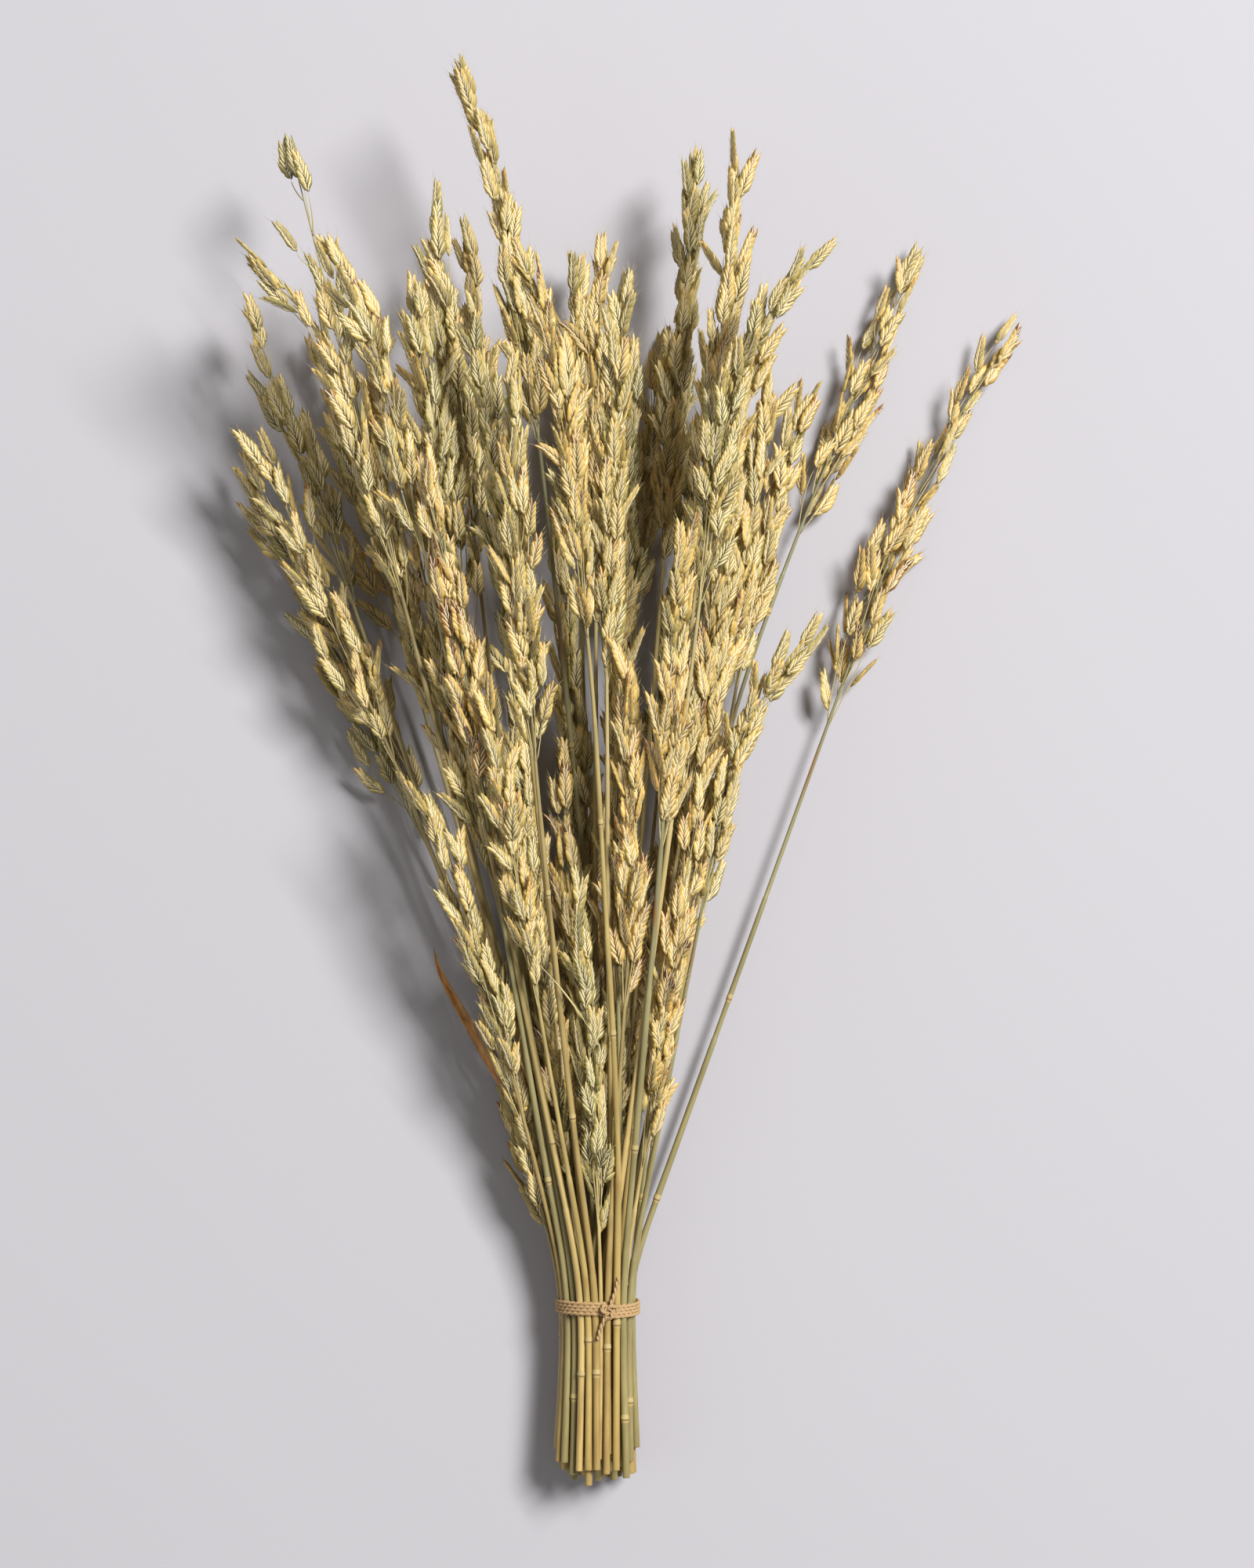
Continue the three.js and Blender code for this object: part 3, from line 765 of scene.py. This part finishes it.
# Each stalk is one grown piece: its straw, its branches and its spikelets together.
# Heads in the middle of the bundle are full, those that stand apart are looser, and the
# low ones, squeezed between straws, bear least. The right side is a little riper.
HEAD_RING = 2.3 * MM
LONE_HEAD = 0.14
FULLNESS = (1.6, 0.62)
LOW_NECKS = (-240 * MM, -60 * MM)
LOW_FULLNESS = (0.5, 1)
FULLER_OR_LESS = (0.85, 1.1)
STALK_TONE = (0.46, 0.1)
SPIKELET_TONE = 0.09
RIPER_SIDE = 0.1
LOWEST_POINTS = 1.2 * MM

stalk_finishes = [straw_finish(), joint_finish(), fine_finish(), scale_finish()]
stalk_names = sorted(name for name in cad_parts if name.startswith("stalk_"))
for seed, stalk_name in enumerate(stalk_names):
    rng = np.random.default_rng(1000 + seed)
    centres, ring_radius = rings_of(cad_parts[stalk_name])
    neck_ring = int(np.argmax(ring_radius > HEAD_RING)) - 1
    line = line_through(centres, LINE_SMOOTHING)
    neck = np.interp(centres[neck_ring, 1], line["at"][:, 1], line["far"])
    parts = [straw_skin(line, neck, ring_radius[0], ring_radius[neck_ring], rng)]
    aside = np.clip(on_line(line, neck)[0] / LONE_HEAD, -1, 1)
    fullness = between(FULLNESS, abs(aside)) * rng.uniform(*FULLER_OR_LESS)
    openness = 1 / fullness
    height = (centres[neck_ring, 1] - LOW_NECKS[0]) / (LOW_NECKS[1] - LOW_NECKS[0])
    fullness *= between(LOW_FULLNESS, np.clip(height, 0, 1))
    stems, foot, way, flat, length = head_plan(line, neck, fullness, openness, rng)
    tone = rng.normal(*STALK_TONE) + RIPER_SIDE * aside + rng.normal(0, SPIKELET_TONE, len(foot))
    parts += stems + spikelet_skins(foot, way, flat, length, tone, rng)
    shape = joined(parts)
    shape["points"] = pressed(shape["points"], LOWEST_POINTS)
    stalk = piece("grass_" + stalk_name[6:], shape, stalk_finishes)
    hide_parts(stalk_name)
    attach(stalk, "root")

# The broad leaf that has dried on its straw: a thin blade, folded a little along its
# middle, which stands on edge at its foot, twists over and curls inward at its tip.
LEAF_WIDTH = 6.4 * MM
LEAF_THICKNESS = 0.35 * MM
LEAF_RINGS = 26
LEAF_SIDES = 12
LEAF_CREASE = 0.3
LEAF_CURL = 5 * MM
LEAF_TURN = (np.radians(81), np.radians(-30))
LEAF_STOPS = [
    (0.0, (0.13, 0.06, 0.02)),
    (0.35, (0.3, 0.12, 0.03)),
    (0.55, (0.46, 0.2, 0.05)),
    (0.75, (0.55, 0.3, 0.1)),
    (1.0, (0.62, 0.4, 0.18)),
]


def blade_skin(line, half_width, turn, thickness, crease, sides):
    """A blade along a line. A ring's point at angle a stands half the width times cos(a) to
    the side and half the thickness times sin(a) through the blade, and the sides stand up
    from the middle by crease times their distance from it."""
    far = np.linspace(0, line["far"][-1], len(half_width))
    across, up = on_line(line, far, "across")[:, None], on_line(line, far, "up")[:, None]
    cos, sin = np.cos(turn)[:, None, None], np.sin(turn)[:, None, None]
    angle = 2 * np.pi * np.arange(sides) / sides
    aside = half_width[:, None] * np.cos(angle)
    through = thickness / 2 * (half_width[:, None] > 0) * np.sin(angle) + crease * np.abs(aside)
    rings = on_line(line, far)[:, None] + aside[..., None] * (cos * across + sin * up)
    rings = rings + through[..., None] * (cos * up - sin * across)
    return skin(rings[None], np.array([[0, 0, 1, 1]]), 0)


def blade_finish(name, stops, vein_count):
    """The colours of stops in blotches along the blade, with fine veins lengthways."""
    finish, surface, x, y = colour_nodes(name, 0.6, 0.3)
    tree = finish.node_tree
    veins = sum_of(tree, "SINE", sum_of(tree, "MULTIPLY", x, 2 * np.pi * vein_count))
    patches = sum_of(tree, "MULTIPLY_ADD", noise(tree, x, y, 5, 9, 4), 1.5, -0.2)
    value = sum_of(tree, "ADD", patches, sum_of(tree, "MULTIPLY", veins, 0.07))
    tree.links.new(ramp(tree, value, stops), surface.inputs["Base Color"])
    return finish


leaf_line = line_through(rings_of(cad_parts["dry_leaf"])[0], 5 * MM)
share = np.linspace(0, 1, LEAF_RINGS)
curl = LEAF_CURL * np.clip((share - 0.72) / 0.28, 0, 1) ** 2
leaf_half = LEAF_WIDTH / 2 * np.minimum(1, 0.42 + 2.2 * share) * (1 - share**2.5) ** 0.9
leaf_half[[0, -1]] = 0
leaf_turn = between(LEAF_TURN, share)
leaf_shape = blade_skin(leaf_line, leaf_half, leaf_turn, LEAF_THICKNESS, LEAF_CREASE, LEAF_SIDES)
leaf_ahead = on_line(leaf_line, share * leaf_line["far"][-1])[:, 1]
leaf_shape["points"][:, 0] += np.interp(leaf_shape["points"][:, 1], leaf_ahead, curl)
leaf = piece("dry_leaf_blade", leaf_shape, [blade_finish("dry leaf", LEAF_STOPS, 11)])
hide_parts("dry_leaf")
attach(leaf, "root")


# A leaf that has withered to a thread, lying slantwise over the straws.
THREAD_HALF_WIDTH = 0.8 * MM
THREAD_THICKNESS = 0.4 * MM
THREAD_TWIST = 5.0

thread_line = line_through(rings_of(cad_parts["withered_thread"])[0], 3 * MM)
thread_half = THREAD_HALF_WIDTH * (1 - 0.7 * share)
thread_half[[0, -1]] = 0
thread_turn = THREAD_TWIST * share
thread_shape = blade_skin(thread_line, thread_half, thread_turn, THREAD_THICKNESS, LEAF_CREASE, 8)
thread = piece("withered_strip", thread_shape, [blade_finish("withered leaf", FINE_STOPS, 3)])
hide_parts("withered_thread")
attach(thread, "root")


# The tie: two-ply twine wound four times round the straws side by side, and knotted on
# top, with its two ends cut short.
TIE_TURNS = 4
RINGS_PER_TURN = 110
PLY_SIDES = 8
PLY_PITCH = 6.5 * MM
KNOT_SIZE = 2.5 * MM
KNOT_DEPTH = 1.1 * MM
KNOT_TURN = np.radians(14)
TIE_ENDS = [(6 * MM, 17 * MM), (-5 * MM, -15 * MM)]
TWINE_STOPS = [(0.2, (0.26, 0.15, 0.06)), (0.5, (0.46, 0.3, 0.14)), (0.8, (0.62, 0.45, 0.25))]

tie_low, tie_high = (np.array(corner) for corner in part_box("tie"))
tie_middle = (tie_low + tie_high) / 2
twine_radius = (tie_high[1] - tie_low[1]) / (2 * TIE_TURNS)
coil_radius = (tie_high[0] - tie_low[0]) / 2 - twine_radius
ply_radius = 0.56 * twine_radius


def twine_skins(centres, outward):
    """Two plies round a line of centres. A ply's middle stands off the line by what is left of
    the twine's radius, and turns round it once in every pitch; outward gives a direction
    across the line at each place."""
    way = unit(np.gradient(centres, axis=0))
    outward = unit(outward - (outward * way).sum(axis=-1, keepdims=True) * way)
    beside = np.cross(outward, way)
    far = np.concatenate([[0], np.cumsum(np.linalg.norm(np.diff(centres, axis=0), axis=1))])
    angle = 2 * np.pi * np.arange(PLY_SIDES) / PLY_SIDES
    skins = []
    for ply in (0, 1):
        turn = 2 * np.pi * far / PLY_PITCH + ply * np.pi
        off = np.cos(turn)[:, None] * outward + np.sin(turn)[:, None] * beside
        middle_line = centres + (twine_radius - ply_radius) * off
        thick = np.full(len(far), ply_radius)
        thick[[0, -1]] = 0
        spokes = np.cos(angle)[:, None] * outward[:, None]
        spokes = spokes + np.sin(angle)[:, None] * beside[:, None]
        rings = middle_line[:, None] + thick[:, None, None] * spokes
        skins.append(skin(rings[None], np.array([[0, ply / 2, 1, 0.49]]), 0, None, True))
    return skins


def twine_finish():
    """Brown plant fibre: streaks that slant across each ply."""
    finish, surface, x, y = colour_nodes("twine", 0.75, 0.2)
    tree = finish.node_tree
    slant = sum_of(tree, "MULTIPLY_ADD", y, 0.05, x)
    fibres = sum_of(tree, "MULTIPLY_ADD", noise(tree, slant, y, 300, 24, 3), 1.3, -0.15)
    tree.links.new(ramp(tree, fibres, TWINE_STOPS), surface.inputs["Base Color"])
    return finish


turn = 2 * np.pi * np.linspace(0, TIE_TURNS, TIE_TURNS * RINGS_PER_TURN + 1) + KNOT_TURN
spoke = np.stack([np.sin(turn), 0 * turn, np.cos(turn)], axis=1)
coil = tie_middle + coil_radius * spoke
coil[:, 1] = np.linspace(tie_low[1] + twine_radius, tie_high[1] - twine_radius, len(turn))
tie_parts = twine_skins(coil, spoke)

knot_out = np.array([np.sin(KNOT_TURN), 0, np.cos(KNOT_TURN)])
knot_side = np.array([np.cos(KNOT_TURN), 0, -np.sin(KNOT_TURN)])
knot_middle = tie_middle + (coil_radius + twine_radius + KNOT_DEPTH) * knot_out
t = np.linspace(0, 2 * np.pi, 90)
knot = knot_middle + KNOT_SIZE * (
    np.outer((np.sin(t) + 2 * np.sin(2 * t)) / 2, knot_side)
    + np.outer((np.cos(t) - 2 * np.cos(2 * t)) / 2, (0, 1, 0))
)
knot = knot - KNOT_DEPTH * np.outer(np.sin(3 * t), knot_out)
tie_parts += twine_skins(knot, np.tile(knot_out, (len(t), 1)))

for aside, ahead in TIE_ENDS:
    t = np.linspace(0, 1, 24)[:, None]
    drop = KNOT_DEPTH + twine_radius * 0.7
    end = knot_middle + aside * np.sin(1.3 * t) * knot_side + t * ahead * np.array([0, 1, 0])
    end = end - drop * np.sin(np.pi / 2 * t) * knot_out
    tie_parts += twine_skins(end, np.tile(knot_out, (len(t), 1)))

twine = piece("twine", joined(tie_parts), [twine_finish()])
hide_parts("tie")
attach(twine, "root")
